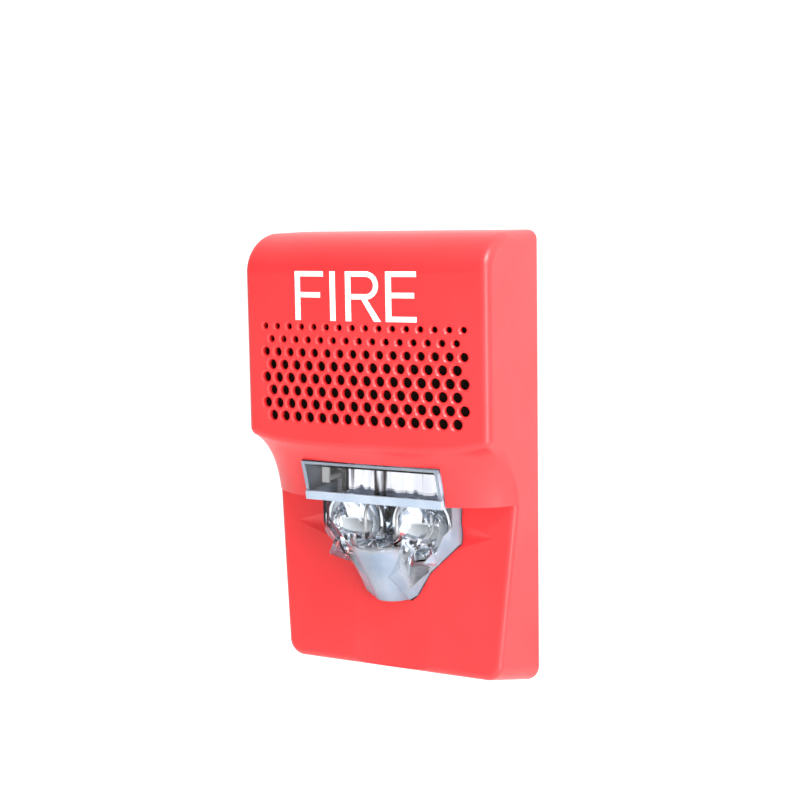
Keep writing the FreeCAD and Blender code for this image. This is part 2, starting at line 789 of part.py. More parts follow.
def terminal_block():
    pieces = [
        block("block_solid", ("-block_half", "block_half"), ("-block_front", "-0.2"),
              ("block_low", "block_high")),
        block("block_ears", ("-block_half - 5.6", "block_half + 5.6"), ("-4.6", "-3.4"), ("18.4", "24")),
    ]
    tools = []
    for number in TERMINALS:
        x = terminal_x(number)
        name = "terminal_%d_" % number
        tools.append(block(name + "chamber", around(x, 3.2), ("-8", "-1.2"), ("15.6", "22.4")))
        tools.append(block(name + "wire_way", around(x, 2.4), ("-7.6", "-1.8"), ("block_low - 1", "15.6")))
        tools.append(rod(name + "screw_way", "2.9", (x, "-block_front - 1", "screw_place"), "2.5", "Y"))
        tools.append(rod(name + "shank_way", "1.7", (x, "-9.5", "screw_place"), "2", "Y"))
        tools.append(block(name + "jaw_room", around(x, 2.0), ("-8.9", "-4.2"), ("22.4", "28.6")))
        tools.append(block(name + "pin_way", around(x, 1.1), ("-block_front - 1", "-8.9"), ("23.6", "28.6")))
    for side, name in (("-", "left"), ("", "right")):
        tools.append(rod("ear_hole_" + name, "1.2", ("%s(block_half + 3)" % side, "-6", "21.2"), "4", "Y"))
    return cut("terminal_block_cut", fuse("terminal_block_solid", pieces), tools)


def ear_screws():
    screws = []
    for side, name in (("-", "left"), ("", "right")):
        x = "%s(block_half + 3)" % side
        head = rod("ear_screw_head_" + name, "2.0", (x, "-5.9", "21.2"), "1.3", "Y")
        shank = rod("ear_screw_shank_" + name, "0.95", (x, "-4.7", "21.2"), "4.2", "Y")
        slot = block("ear_screw_slot_" + name, around(x, 0.3), ("-6", "-5.4"), ("19", "23.4"))
        screws.append(cut("ear_screw_" + name, fuse("ear_screw_solid_" + name, [head, shank]), [slot]))
    return group("ear_screws", screws)


def terminal_screw(number):
    x, name = terminal_x(number), "clamp_screw_%d_" % number
    head = rod(name + "head", "2.6", (x, "-10.4", "screw_place"), "1.35", "Y")
    shank = rod(name + "shank", "thread_radius", (x, "-9.1", "screw_place"), "3.6", "Y")
    slot = block(name + "slot", around(x, 0.4), ("-10.6", "-9.8"), ("screw_place - 3", "screw_place + 3"))
    cross = block(name + "cross", around(x, 3), ("-10.6", "-9.8"), ("screw_place - 0.4", "screw_place + 0.4"))
    return cut(name + "cut", fuse(name + "solid", [head, shank]), [slot, cross])


def terminal_clamp(number):
    x, name = terminal_x(number), "cage_%d_" % number
    outside = block(name + "outside", around(x, 2.9), ("-7.8", "-3.2"), ("16.2", "21.8"))
    inside = block(name + "inside", around(x, 2.2), ("-7.1", "-3.9"), ("16", "22"))
    thread = rod(name + "thread", "thread_radius + run_gap", (x, "-8", "screw_place"), "2", "Y")
    return cut(name + "cut", outside, [inside, thread])


def contact_jaws():
    jaws = []
    for number in TERMINALS:
        x, name = terminal_x(number), "jaw_%d_" % number
        bar = block(name + "bar", around(x, 1.5), ("-5.3", "-4.5"), ("15.9", "28.4"))
        left = block(name + "left", ("%s - 1.4" % x, "%s - 0.8" % x), ("-8.6", "-4.6"), ("23.9", "28.4"))
        right = block(name + "right", ("%s + 0.8" % x, "%s + 1.4" % x), ("-8.6", "-4.6"), ("23.9", "28.4"))
        jaws.append(fuse(name + "solid", [bar, left, right]))
    return group("jaws", jaws)


finish(terminal_block(), "terminal_block")
finish(ear_screws(), "terminal_block_screws")
finish(contact_jaws(), "contact_jaws")
for number in TERMINALS:
    finish(terminal_screw(number), "terminal_screw_%d" % number)
    finish(terminal_clamp(number), "terminal_clamp_%d" % number)

# --------------------------------------------------------------------------------------
# Circuit board with its screws and parts
# --------------------------------------------------------------------------------------
BOARD_FRONT = "-board_rear - board_thick"


def circuit_board():
    body = doc.addObject("PartDesign::Body", "board_body")
    outline = sketch_on(body, "XZ_Plane", "board_outline", "board_rear")
    add_rectangle(outline, ("-board_half", "board_half"), ("-board_foot", "board_top"))
    for x in ("-boss_x", "boss_x"):
        for z in ("boss_high", "-boss_low"):
            add_circle(outline, x, z, "board_screw_radius + 0.15")
    # slot for the candela flag and keyed notch for the volume and tone switches
    add_rectangle(outline, ("-22.6", "-14.4"), ("-8.6", "-6.4"))
    # leads of the sounder
    add_circle(outline, "-5", "8", "0.6")
    add_circle(outline, "5", "8", "0.6")
    pad(body, outline, "board_thick")
    corners = lambda edge: runs_along_y(edge) and abs(middle_of(edge).x) > 35
    round_edges(body, "board_corners", corners, "3")
    return body


def board_screws():
    screws = []
    for number, (x, z, reach) in enumerate((("-boss_x", "boss_high", "9"), ("boss_x", "boss_high", "9"),
                                            ("-boss_x", "-boss_low", "4.4"), ("boss_x", "-boss_low", "4.4"))):
        name = "board_screw_%d_" % (number + 1)
        head = rod(name + "head", "2.2", (x, "-board_rear", z), "1.6", "Y")
        shank = rod(name + "shank", "board_screw_radius", (x, "-board_rear - %s" % reach, z), reach, "Y")
        slot = block(name + "slot", around(x, 0.35), ("-board_rear + 0.9", "-board_rear + 2"), around(z, 3))
        cross = block(name + "cross", around(x, 3), ("-board_rear + 0.9", "-board_rear + 2"), around(z, 0.35))
        screws.append(cut(name + "cut", fuse(name + "solid", [head, shank]), [slot, cross]))
    return group("board_screw_group", screws)


def contact_pins():
    pins = []
    for number in TERMINALS:
        x, name = terminal_x(number), "pin_%d_" % number
        blade = block(name + "blade", around(x, 0.4), ("-board_rear", "-5.9"), ("24.8", "27.2"))
        pins.append(blade)
    return group("pins", pins)


def turned_across(label, profile, x, y, z):
    """A turned sub-part whose axis lies along X."""
    body = turned(label, profile, "X")
    place(body, x, y, z)
    return body


def flash_capacitor():
    radius, half = "can_radius", "can_length / 2"
    profile = [("0", "-" + half), (radius + " - 0.8", "-" + half), (radius, "-%s + 0.8" % half),
               (radius, "%s - 3.4" % half), (radius + " - 0.7", "%s - 2.8" % half),
               (radius, "%s - 2.2" % half), (radius, "%s - 0.6" % half),
               (radius + " - 0.6", half), ("0", half)]
    return turned_across("flash_capacitor", profile, "0", BOARD_FRONT + " - can_radius - 0.1", "can_high")


def flanged_block(label, x_range, z_range, tall, waist):
    """A bobbin: two end flanges joined by a narrower waist, standing on the board."""
    x_low, x_high = x_range
    y_front = "%s - %s" % (BOARD_FRONT, tall)
    left = block(label + "_left", (x_low, "%s + 1" % x_low), (y_front, BOARD_FRONT), z_range)
    right = block(label + "_right", ("%s - 1" % x_high, x_high), (y_front, BOARD_FRONT), z_range)
    z_low, z_high = ("%s + %s" % (z_range[0], waist), "%s - %s" % (z_range[1], waist))
    y_middle = ("%s + %s" % (y_front, waist), "%s - %s" % (BOARD_FRONT, waist))
    middle = block(label + "_middle", x_range, y_middle,
                   (z_low, z_high))
    return fuse(label + "_solid", [left, right, middle])


def power_inductor():
    profile = [("0", "0"), ("5.2", "0"), ("5.2", "-1.2"), ("4.0", "-1.2"), ("4.0", "-6.4"),
               ("5.2", "-6.4"), ("5.2", "-7.6"), ("0", "-7.6")]
    body = turned("power_inductor", profile, "Y")
    place(body, "-26.5", BOARD_FRONT, "18")
    return body


def power_transistor():
    case = block("transistor_case", ("22.5", "32.5"), (BOARD_FRONT + " - 3", BOARD_FRONT), ("34", "42"))
    tab = block("transistor_tab", ("22.5", "32.5"), (BOARD_FRONT + " - 1", BOARD_FRONT), ("42", "45"))
    return fuse("transistor_solid", [case, tab])


def control_chip():
    case = block("chip_case", ("-6", "6"), ("-board_rear", "-board_rear + 1.8"), ("-34", "-26"))
    legs = []
    for index in range(8):
        x = "-5.1 + %s" % (index * 1.4)
        legs.append(block("chip_leg_%d" % index, around(x, 0.25), ("-board_rear", "-board_rear + 0.6"),
                          ("-35.6", "-24.4")))
    return fuse("chip_solid", [case] + legs)


finish(circuit_board(), "circuit_board")
finish(board_screws(), "board_screws")
finish(contact_pins(), "contact_pins")
flash_capacitor()
finish(flanged_block("trigger_transformer", ("22", "32"), ("14", "23"), "8", "1.2"), "trigger_transformer")
power_inductor()
finish(power_transistor(), "power_transistor")
finish(control_chip(), "control_chip")

# --------------------------------------------------------------------------------------
# Setting switches on the board's rear face
# --------------------------------------------------------------------------------------


def slide_switch(label, x, z, half_long):
    """Housing of a slide switch: a box with a slot across its rear face."""
    case_y, room_y = ("-board_rear", "-board_rear + 3.4"), ("-board_rear + 0.8", "-board_rear + 4")
    outside = block(label + "_case", around(x, half_long), case_y, around(z, 2.6))
    room = block(label + "_room", around(x, half_long - 0.9), room_y, around(z, 1.3))
    return cut(label + "_cut", outside, [room])


def slide_knob(label, x, z, half_long):
    foot_y = ("-board_rear + 1", "-board_rear + 2.6")
    slider = block(label + "_foot", around(x, half_long), foot_y, around(z, 1.1))
    knob = block(label + "_knob", around(x, 0.9), ("-board_rear + 1", "-board_rear + 4.8"), around(z, 1.0))
    return fuse(label + "_solid", [slider, knob])


finish(slide_switch("volume_switch", "16", "-20", 5.0), "volume_switch")
finish(slide_knob("volume_slider", "14.9", "-20", 2.8), "volume_slider")
finish(slide_switch("tone_switch", "16", "-30", 5.0), "tone_switch")
finish(slide_knob("tone_slider", "14.9", "-30", 2.8), "tone_slider")


def candela_switch():
    """Four-position housing behind the slot in the board."""
    outside = block("candela_case", ("-27", "-10"), ("-board_rear", "-board_rear + 4"), ("-10.5", "-4.5"))
    room = block("candela_room", ("-25.6", "-11.4"), ("-board_rear - 1", "-board_rear + 5"), ("-8.7", "-6.3"))
    return cut("candela_switch_cut", outside, [room])


def candela_slider():
    """Knob behind the board joined through its slot to a flag seen through the lens."""
    knob = block("candela_knob", ("-23", "-20"), ("-board_rear + 0.6", "-board_rear + 6"), ("-8.4", "-6.6"))
    foot = block("candela_foot", ("-25", "-18"), ("-board_rear + 0.6", "-board_rear + 2.6"), ("-8.4", "-6.6"))
    stem_y = (BOARD_FRONT + " - 9", "-board_rear + 1")
    flag_y = (BOARD_FRONT + " - 9.8", BOARD_FRONT + " - 9")
    stem = block("candela_stem", ("-22.2", "-21"), stem_y, ("-8.2", "-6.8"))
    flag = block("candela_flag", ("-22.2", "-19.6"), flag_y, ("-8.2", "-3.2"))
    return fuse("candela_slider_solid", [knob, foot, stem, flag])


finish(candela_switch(), "candela_switch")
finish(candela_slider(), "candela_slider")

# --------------------------------------------------------------------------------------
# Sounder behind the grille, turned about an axis along Y
# --------------------------------------------------------------------------------------


def sounder_part(label, profile):
    body = turned(label, profile, "Y")
    place(body, "0", BOARD_FRONT, "sounder_high")
    return body


sounder_part("sounder_frame", [
    ("9.2", "0"), ("sounder_radius - 2", "0"), ("sounder_radius", "-2"), ("sounder_radius", "-11.4"),
    ("sounder_radius - 1.2", "-11.4"), ("sounder_radius - 1.2", "-9.4"), ("sounder_radius - 2.4", "-9.4"),
    ("sounder_radius - 1.6", "-2.6"), ("sounder_radius - 2.6", "-1.2"), ("9.2", "-1.2")])
sounder_part("sounder_yoke", [
    ("0", "0"), ("9.2", "0"), ("9.2", "-6.8"), ("8.0", "-6.8"), ("8.0", "-1.4"), ("0", "-1.4")])
sounder_part("sounder_magnet", [("0", "-1.4"), ("6.2", "-1.4"), ("6.2", "-5.8"), ("0", "-5.8")])
sounder_part("voice_coil", [("6.7", "-3.4"), ("7.5", "-3.4"), ("7.5", "-8.9"), ("6.7", "-8.9")])
sounder_part("sounder_diaphragm", [
    ("0", "-11.6"), ("3.6", "-11.2"), ("6.2", "-10.0"), ("7.1", "-8.9"), ("diaphragm_radius - 2", "-10.6"),
    ("diaphragm_radius - 1", "-10.9"), ("diaphragm_radius", "-10.3"), ("diaphragm_radius + 0.6", "-10.3"),
    ("diaphragm_radius + 0.6", "-10.55"), ("diaphragm_radius + 0.1", "-10.55"),
    ("diaphragm_radius - 1", "-11.2"), ("diaphragm_radius - 2", "-10.9"), ("7.1", "-9.2"),
    ("6.4", "-10.2"), ("3.7", "-11.5"), ("0", "-11.9")])


def sounder_cap():
    """Front cap with a ring of sound ports."""
    body = doc.addObject("PartDesign::Body", "sounder_cap_body")
    profile = sketch_on(body, "XY_Plane", "sounder_cap_profile")
    add_outline(profile, [("0", "-sounder_deep"), ("sounder_radius - 1", "-sounder_deep"),
                          ("sounder_radius", "-sounder_deep + 1"), ("sounder_radius", "-11.4"),
                          ("sounder_radius - 1.3", "-11.4"), ("sounder_radius - 1.3", "-sounder_deep + 1.2"),
                          ("0", "-sounder_deep + 1.2")])
    dome = body.newObject("PartDesign::Revolution", "sounder_cap_turn")
    dome.Profile = profile
    dome.ReferenceAxis = (profile, ["V_Axis"])
    dome.Angle = 360
    body.Tip = dome
    place(body, "0", BOARD_FRONT, "sounder_high")
    doc.recompute()
    port = sketch_on(body, "XZ_Plane", "sounder_port", "sounder_deep + 1")
    add_circle(port, "8.5", "0", "2.6")
    slot = body.newObject("PartDesign::Pocket", "sounder_port_pocket")
    slot.Profile = port
    slot.Reversed = False
    slot.Length = 4
    slot.Midplane = True
    body.Tip = slot
    doc.recompute()
    ring = body.newObject("PartDesign::PolarPattern", "sounder_ports")
    ring.Originals = [slot]
    ring.Axis = (port, ["N_Axis"])
    ring.Angle = 360
    ring.Occurrences = 6
    body.Tip = ring
    doc.recompute()
    return body


finish(sounder_cap(), "sounder_cap")


def wire_lead(radius, points):
    """A round lead: straight runs joined by tangent arcs."""
    bends = []
    edges = []
    start = points[0]
    for index in range(1, len(points) - 1):
        before, corner, after = points[index - 1:index + 2]
        first, second = corner - before, after - corner
        turn = first.getAngle(second)
        arm = 0.45 * min(first.Length, second.Length)
        bends.append(arm / math.tan(turn / 2))
        arc_start = corner - Vector(first).normalize() * arm
        arc_end = corner + Vector(second).normalize() * arm
        centre_way = (Vector(second).normalize() - Vector(first).normalize()).normalize()
        centre = corner + centre_way * (math.hypot(arm, bends[-1]))
        middle = centre - centre_way * bends[-1]
        edges.append(Part.makeLine(start, arc_start))
        edges.append(Part.Arc(arc_start, middle, arc_end).toShape())
        start = arc_end
    edges.append(Part.makeLine(start, points[-1]))
    path = Part.Wire(edges)
    section = Part.Wire(Part.makeCircle(radius, points[0], points[1] - points[0]))
    tube = path.makePipeShell([section], True, True)
    print("lead bends", [round(bend, 2) for bend in bends], "volume", round(tube.Volume, 2),
          "section times length", round(math.pi * radius * radius * path.Length, 2))
    return tube


def sounder_leads():
    """Two insulated leads from the board up to the sounder's rear rim."""
    board_front = -size_of("board_rear") - size_of("board_thick")
    rim_z = size_of("sounder_high") - size_of("sounder_radius")
    tubes = []
    for side in (-1, 1):
        route = [Vector(5 * side, board_front + 1.2, 8.0), Vector(5 * side, board_front - 3.0, 8.0),
                 Vector(4 * side, board_front - 4.6, 10.2), Vector(3 * side, board_front - 5.0, rim_z + 0.2)]
        tubes.append(wire_lead(0.45, route))
    return Part.makeCompound(tubes)


finish(shaped("sounder_leads", sounder_leads()), "sounder_leads")

# --------------------------------------------------------------------------------------
# Strobe head: lens, reflector, flash tube and its supports
# --------------------------------------------------------------------------------------
BOARD_FACE = -size_of("board_rear") - size_of("board_thick")


def lens_block(inset):
    """Upper part in the cove's window: slanted front with a lip along its foot."""
    half = size_of("window_half") - size_of("lens_gap") - inset
    top, low = -inset, BROW_Z - 0.5
    lip = BROW_Z + 2.2 + 0.5 * inset
    profile = [(BOARD_FACE, low), (BOARD_FACE, top), (-32.2 + inset, top), (-29.2 + inset, lip),
               (-30.0 + inset, lip), (-29.5 + inset, low)]
    wire = closed_wire([Vector(-half, y, z) for y, z in profile])
    return Part.Face(wire).extrude(Vector(2 * half, 0, 0))


def front_outline(inset):
    """The lens's outline on its foremost plane: (x, z) corners."""
    right = [(19.0, -19.5), (11.6, -28.0), (7.4, -33.2), (4.6, -35.4)]
    right = [(x - inset, z + 0.6 * inset) for x, z in right]
    left = [(-x, z) for x, z in reversed(right)]
    return [(right[0][0], BROW_Z + 1.0)] + right + left + [(-right[0][0], BROW_Z + 1.0)]


def lens_body(inset):
    """Lower part: a faceted dome that tapers to a tip, with a slanting round nose."""
    base_outline = lens_outline(-size_of("lens_gap") - inset)
    sections = []
    levels = ((base_outline, BOARD_FACE), (base_outline, -18.2), (front_outline(inset), -27.5 + inset))
    for outline, y in levels:
        sections.append(closed_wire([Vector(x, y, z) for x, z in outline]))
    dome = Part.makeLoft(sections, True, True)
    start, end = Vector(0, -26.2, -21.5), Vector(0, -14.5, -47.5)
    way = (end - start).normalize()
    start = start + way * inset
    nose = Part.makeCone(9.8 - inset, 5.4 - inset, (end - start).Length, start, way)
    pieces = [nose]
    for side in (-1, 1):
        light_way = Vector(0.25 * side, -0.3, -0.92)
        start = Vector(11.8 * side, -20.5, -20.0)
        pieces.append(Part.makeCylinder(3.9 - inset, 12.5 - inset, start, light_way))
    low, foot = BROW_Z + 1.0, -44.6 + 0.8 * inset
    keep = Part.makeBox(60, 40, low - foot, Vector(-30, BOARD_FACE - 40, foot))
    return dome.fuse(pieces).common(keep)


def strobe_lens():
    wall = size_of("lens_wall")
    outside = lens_block(0).fuse(lens_body(0))
    below = lens_outline(1.6)
    flange = along_y([(x, z) for x, z in below], BOARD_FACE, BOARD_FACE - 1.2)
    top_flange = Part.makeBox(52, 1.2, 14, Vector(-26, BOARD_FACE - 1.2, BROW_Z))
    outside = outside.fuse([flange, top_flange])
    inside = lens_block(wall).fuse(lens_body(wall))
    behind = Part.makeBox(60, 10, 60, Vector(-30, BOARD_FACE, -50))
    return outside.cut(inside).cut(behind)


def reflector():
    """Two bright bowls, the mirror behind the window and the throat inside the nose."""
    thick, radius = size_of("bowl_thick"), size_of("bowl_radius")
    rim, bowl_x, bowl_z = -size_of("bowl_rim"), size_of("bowl_place"), -size_of("bowl_high")
    centres = [Vector(side * bowl_x, BOARD_FACE - 0.3 - radius, bowl_z) for side in (-1, 1)]
    bowls = [Part.makeSphere(radius, centre) for centre in centres]
    hollows = [Part.makeSphere(radius - thick, centre) for centre in centres]
    ahead = Part.makeBox(80, 40, 60, Vector(-40, rim - 40, -60))
    cups = bowls[0].fuse(bowls[1]).cut(ahead)
    start, end = Vector(0, -23.3, -26.7), Vector(0, -16.9, -40.8)
    way = end - start
    throat = Part.makeCone(6.6, 3.5, way.Length, start, way)
    throat = throat.cut(Part.makeCone(6.6 - thick, 3.5 - thick, way.Length, start, way))
    section = [(-25.2, -1.8), (-24.4, -1.8), (-24.4, -10.5), (-13.9, -10.5), (-13.9, -11.3), (-25.2, -11.3)]
    mirror = Part.Face(closed_wire([Vector(-10.6, y, z) for y, z in section])).extrude(Vector(32.6, 0, 0))
    rib = Part.makeBox(32.6, 1.4, 9.4, Vector(-10.6, BOARD_FACE - 1.4, -11.3))
    bridge = Part.makeBox(9, 1.4, 38, Vector(-4.5, BOARD_FACE - 1.4, -40))
    body = cups.fuse([mirror, rib, bridge, throat]).cut(hollows)
    body = body.cut(Part.makeBox(80, 30, 80, Vector(-40, BOARD_FACE, -60)))
    for side in (-1, 1):
        post = Vector(side * (size_of("tube_half") + 0.6), -30, -size_of("tube_low") + 10.4)
        body = body.cut(Part.makeCylinder(1.0, 30, post, Vector(0, 1, 0)))
    lead_way = Vector(0, -30, -size_of("tube_low"))
    return body.cut(Part.makeCylinder(0.8, 30, lead_way, Vector(0, 1, 0)))


finish(shaped("strobe_lens", strobe_lens()), "strobe_lens")
finish(shaped("reflector", reflector()), "reflector")

tube = turned("flash_tube", [("0.9", "-tube_half"), ("tube_radius", "-tube_half"),
                             ("tube_radius", "tube_half"), ("0.9", "tube_half")], "X")
place(tube, "0", "-tube_front", "-tube_low")


def tube_electrodes():
    """A cap on each end of the tube on a wire that runs up and back to the board."""
    half, y, z = size_of("tube_half"), -size_of("tube_front"), -size_of("tube_low")
    ends = []
    for side in (-1, 1):
        cap = Part.makeCylinder(size_of("tube_radius"), 1.2, Vector(side * half, y, z), Vector(side, 0, 0))
        x, knee = side * (half + 0.6), z + 10.4
        route = [Vector(x, y, z + 1.0), Vector(x, y, knee), Vector(x, BOARD_FACE, knee)]
        ends.append(cap.fuse(wire_lead(0.5, route)))
    return Part.makeCompound(ends)


def trigger_band():
    middle = ("-1", "-tube_front", "-tube_low")
    band = rod("trigger_ring", "tube_radius + 0.2", middle, "2", "X")
    room = rod("trigger_room", "tube_radius", ("-2", "-tube_front", "-tube_low"), "4", "X")
    lead = block("trigger_lead", ("-0.25", "0.25"), ("-tube_front + tube_radius", BOARD_FRONT),
                 around("-tube_low", "0.25"))
    return fuse("trigger_band_solid", [cut("trigger_ring_cut", band, [room]), lead])


def light_baffle():
    wall = block("baffle_wall", ("-12.4", "-11.2"), ("-26.4", BOARD_FRONT), ("-9.6", "-1.7"))
    foot = block("baffle_foot", ("-14", "-11.2"), (BOARD_FRONT + " - 1.2", BOARD_FRONT), ("-9.6", "-7.6"))
    return fuse("baffle_solid", [wall, foot])


finish(shaped("tube_electrodes", tube_electrodes()), "tube_electrodes")
finish(trigger_band(), "trigger_band")
finish(light_baffle(), "light_baffle")

# --------------------------------------------------------------------------------------
# Check and write
# --------------------------------------------------------------------------------------
doc.recompute()
for item in doc.Objects:
    if "Invalid" in item.State or "Error" in item.State:
        raise ValueError("%s failed: %s" % (item.Name, item.State))
for label, item in finished.items():
    shape = item.Shape
    if shape.isNull() or not shape.isValid():
        raise ValueError("%s has no valid shape" % label)
    if not shape.Solids:
        raise ValueError("%s has no solid" % label)
if len(finished["front_cover"].Shape.Solids) != 1:
    raise ValueError("the front cover came out in more than one piece")
for label, item in finished.items():
    item.Shape.exportStep("parts/%s.step" % label)
    box = item.Shape.BoundBox
    print("%-22s solids %d volume %9.2f  x %.1f %.1f  y %.1f %.1f  z %.1f %.1f" % (
        label, len(item.Shape.Solids), item.Shape.Volume,
        box.XMin, box.XMax, box.YMin, box.YMax, box.ZMin, box.ZMax))
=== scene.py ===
"""Looks of the wall horn strobe: finishes for every CAD piece, the moulded lens, light and camera."""

import json
import math

import bpy
from mathutils import Matrix, Vector


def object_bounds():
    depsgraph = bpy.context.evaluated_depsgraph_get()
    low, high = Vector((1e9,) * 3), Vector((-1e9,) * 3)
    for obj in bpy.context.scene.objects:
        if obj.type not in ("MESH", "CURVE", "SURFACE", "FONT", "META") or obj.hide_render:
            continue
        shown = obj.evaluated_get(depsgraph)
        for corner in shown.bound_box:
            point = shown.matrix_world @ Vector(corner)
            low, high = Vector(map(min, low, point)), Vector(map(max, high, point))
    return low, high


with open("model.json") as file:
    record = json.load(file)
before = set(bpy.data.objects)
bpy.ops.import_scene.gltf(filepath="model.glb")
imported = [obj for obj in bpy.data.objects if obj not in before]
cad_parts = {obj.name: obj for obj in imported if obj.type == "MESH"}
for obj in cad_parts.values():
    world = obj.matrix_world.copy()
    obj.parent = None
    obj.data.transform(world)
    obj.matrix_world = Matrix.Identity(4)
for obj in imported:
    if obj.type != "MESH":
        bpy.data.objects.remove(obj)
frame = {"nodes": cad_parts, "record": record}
start_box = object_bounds()
nodes = frame["nodes"]
MM = 0.001

# Zones of the lens moulding, in metres from the middle of the object's rear face
LIP = (-0.0126, -0.0098)                # lower lip of the window block, in height
NOSE_HEIGHT = (-0.048, -0.0262)
NOSE_HALF_WIDTH = 0.0085
NOSE_DEPTH = (-0.040, -0.0195)
LENS_SIDE = 0.0229                      # what lies farther from the middle is side wall
LENS_TOP = (-0.0008, 0.004)
UPPER_FLANK = ((0.704, 0, 0.711), 0.0344)   # slanted plane: its direction and its distance
LOWER_FLANK = ((0.856, 0, 0.518), 0.0297)
MIRROR_STRIP = (-0.0118, 0.002)         # part of the mirror behind the window, in height
# Weights of the painted reflection: blue-grey colour on the lens's lip, nose and edge walls in place of what
# the clear plastic reflects there
LIP_REFLECTION_PAINT, NOSE_REFLECTION_PAINT, EDGE_REFLECTION_PAINT = 0.85, 0.5, 0.5


# --------------------------------------------------------------------------------------
# Materials
# --------------------------------------------------------------------------------------
class Finish:
    """A node material whose colour, roughness and surface come from object-space textures."""

    def __init__(self, name):
        self.material = bpy.data.materials.new(name)
        self.material.use_nodes = True
        self.tree = self.material.node_tree
        self.shader = self.tree.nodes["Principled BSDF"]
        self.place = self.tree.nodes.new("ShaderNodeTexCoord").outputs["Object"]

    def add(self, kind, **settings):
        node = self.tree.nodes.new(kind)
        for key, value in settings.items():
            setattr(node, key, value)
        return node

    def join(self, source, target):
        self.tree.links.new(source, target)

    def noise(self, scale, detail=4.0, stretch=None):
        node = self.add("ShaderNodeTexNoise")
        node.inputs["Scale"].default_value = scale
        node.inputs["Detail"].default_value = detail
        if stretch is None:
            self.join(self.place, node.inputs["Vector"])
        else:
            squeeze = self.add("ShaderNodeMapping")
            squeeze.inputs["Scale"].default_value = stretch
            self.join(self.place, squeeze.inputs["Vector"])
            self.join(squeeze.outputs["Vector"], node.inputs["Vector"])
        return node.outputs["Fac"]

    def ramp(self, source, low, high, start=0.35, end=0.65):
        node = self.add("ShaderNodeValToRGB")
        node.color_ramp.elements[0].position = start
        node.color_ramp.elements[1].position = end
        node.color_ramp.elements[0].color = (*low, 1.0)
        node.color_ramp.elements[1].color = (*high, 1.0)
        self.join(source, node.inputs["Fac"])
        return node.outputs["Color"]

    def span(self, source, low, high):
        node = self.add("ShaderNodeMapRange")
        node.inputs["To Min"].default_value = low
        node.inputs["To Max"].default_value = high
        self.join(source, node.inputs["Value"])
        return node.outputs["Result"]

    def colour(self, low, high, scale, start=0.35, end=0.65, stretch=None):
        source = self.noise(scale, 5.0, stretch)
        self.join(self.ramp(source, low, high, start, end), self.shader.inputs["Base Color"])

    def roughness(self, low, high, scale, stretch=None):
        self.join(self.span(self.noise(scale, 3.0, stretch), low, high), self.shader.inputs["Roughness"])

    def bump(self, scale, depth, detail=3.0, stretch=None, source=None):
        node = self.add("ShaderNodeBump")
        node.inputs["Strength"].default_value = 1.0
        node.inputs["Distance"].default_value = depth
        self.join(source or self.noise(scale, detail, stretch), node.inputs["Height"])
        self.join(node.outputs["Normal"], self.shader.inputs["Normal"])

    def set(self, **values):
        for key, value in values.items():
            self.shader.inputs[key.replace("_", " ")].default_value = value
        return self.material


def plastic(name, low, high, rough, grain=2600, depth=0.000004, spread=0.05):
    look = Finish(name)
    look.colour(low, high, 70)
    look.roughness(rough - spread, rough + spread, 240)
    look.bump(grain, depth)
    return look.set(IOR=1.5)


def metal(name, low, high, rough, stretch=None, depth=0.000002):
    look = Finish(name)
    look.colour(low, high, 500, stretch=stretch)
    look.roughness(rough * 0.7, rough * 1.3, 900, stretch)
    look.bump(1800, depth, stretch=stretch)
    return look.set(Metallic=1.0)


def red_cover():
    look = Finish("red_cover")
    look.colour((0.70, 0.020, 0.023), (0.74, 0.025, 0.028), 45)
    look.roughness(0.34, 0.44, 300)
    look.bump(3200, 0.000005, 4.0)
    return look.set(IOR=1.5)


def cloth():
    look = Finish("black_cloth")
    threads = []
    for axis in ("X", "Z"):
        wave = look.add("ShaderNodeTexWave", bands_direction=axis)
        wave.inputs["Scale"].default_value = 420
        wave.inputs["Distortion"].default_value = 0.6
        look.join(look.place, wave.inputs["Vector"])
        threads.append(wave.outputs["Fac"])
    both = look.add("ShaderNodeMath", operation="MAXIMUM")
    look.join(threads[0], both.inputs[0])
    look.join(threads[1], both.inputs[1])
    woven = look.ramp(both.outputs["Value"], (0.001, 0.001, 0.001), (0.012, 0.009, 0.005), 0.5, 1.0)
    look.join(woven, look.shader.inputs["Base Color"])
    look.bump(0, 0.00003, source=both.outputs["Value"])
    return look.set(Roughness=0.9, Specular_IOR_Level=0.08)


def board():
    look = Finish("board_white")
    tracks = look.add("ShaderNodeTexBrick")
    tracks.inputs["Scale"].default_value = 160
    tracks.inputs["Color1"].default_value = (0.62, 0.64, 0.66, 1)
    tracks.inputs["Color2"].default_value = (0.66, 0.68, 0.70, 1)
    tracks.inputs["Mortar"].default_value = (0.74, 0.76, 0.78, 1)
    turn = look.add("ShaderNodeMapping")
    turn.inputs["Rotation"].default_value = (math.radians(90), 0, 0)
    look.join(look.place, turn.inputs["Vector"])
    look.join(turn.outputs["Vector"], tracks.inputs["Vector"])
    look.join(tracks.outputs["Color"], look.shader.inputs["Base Color"])
    look.roughness(0.22, 0.34, 400)
    look.bump(0, 0.00002, source=tracks.outputs["Fac"])
    return look.set(IOR=1.55)


def coil():
    look = Finish("coil_copper")
    turns = look.add("ShaderNodeTexWave", bands_direction="Y")
    turns.inputs["Scale"].default_value = 900
    turns.inputs["Distortion"].default_value = 0.8
    look.join(look.place, turns.inputs["Vector"])
    shade = look.ramp(turns.outputs["Fac"], (0.24, 0.07, 0.02), (0.72, 0.32, 0.13), 0.1, 0.9)
    look.join(shade, look.shader.inputs["Base Color"])
    look.roughness(0.25, 0.4, 500)
    look.bump(0, 0.00005, source=turns.outputs["Fac"])
    return look.set(Metallic=0.9)


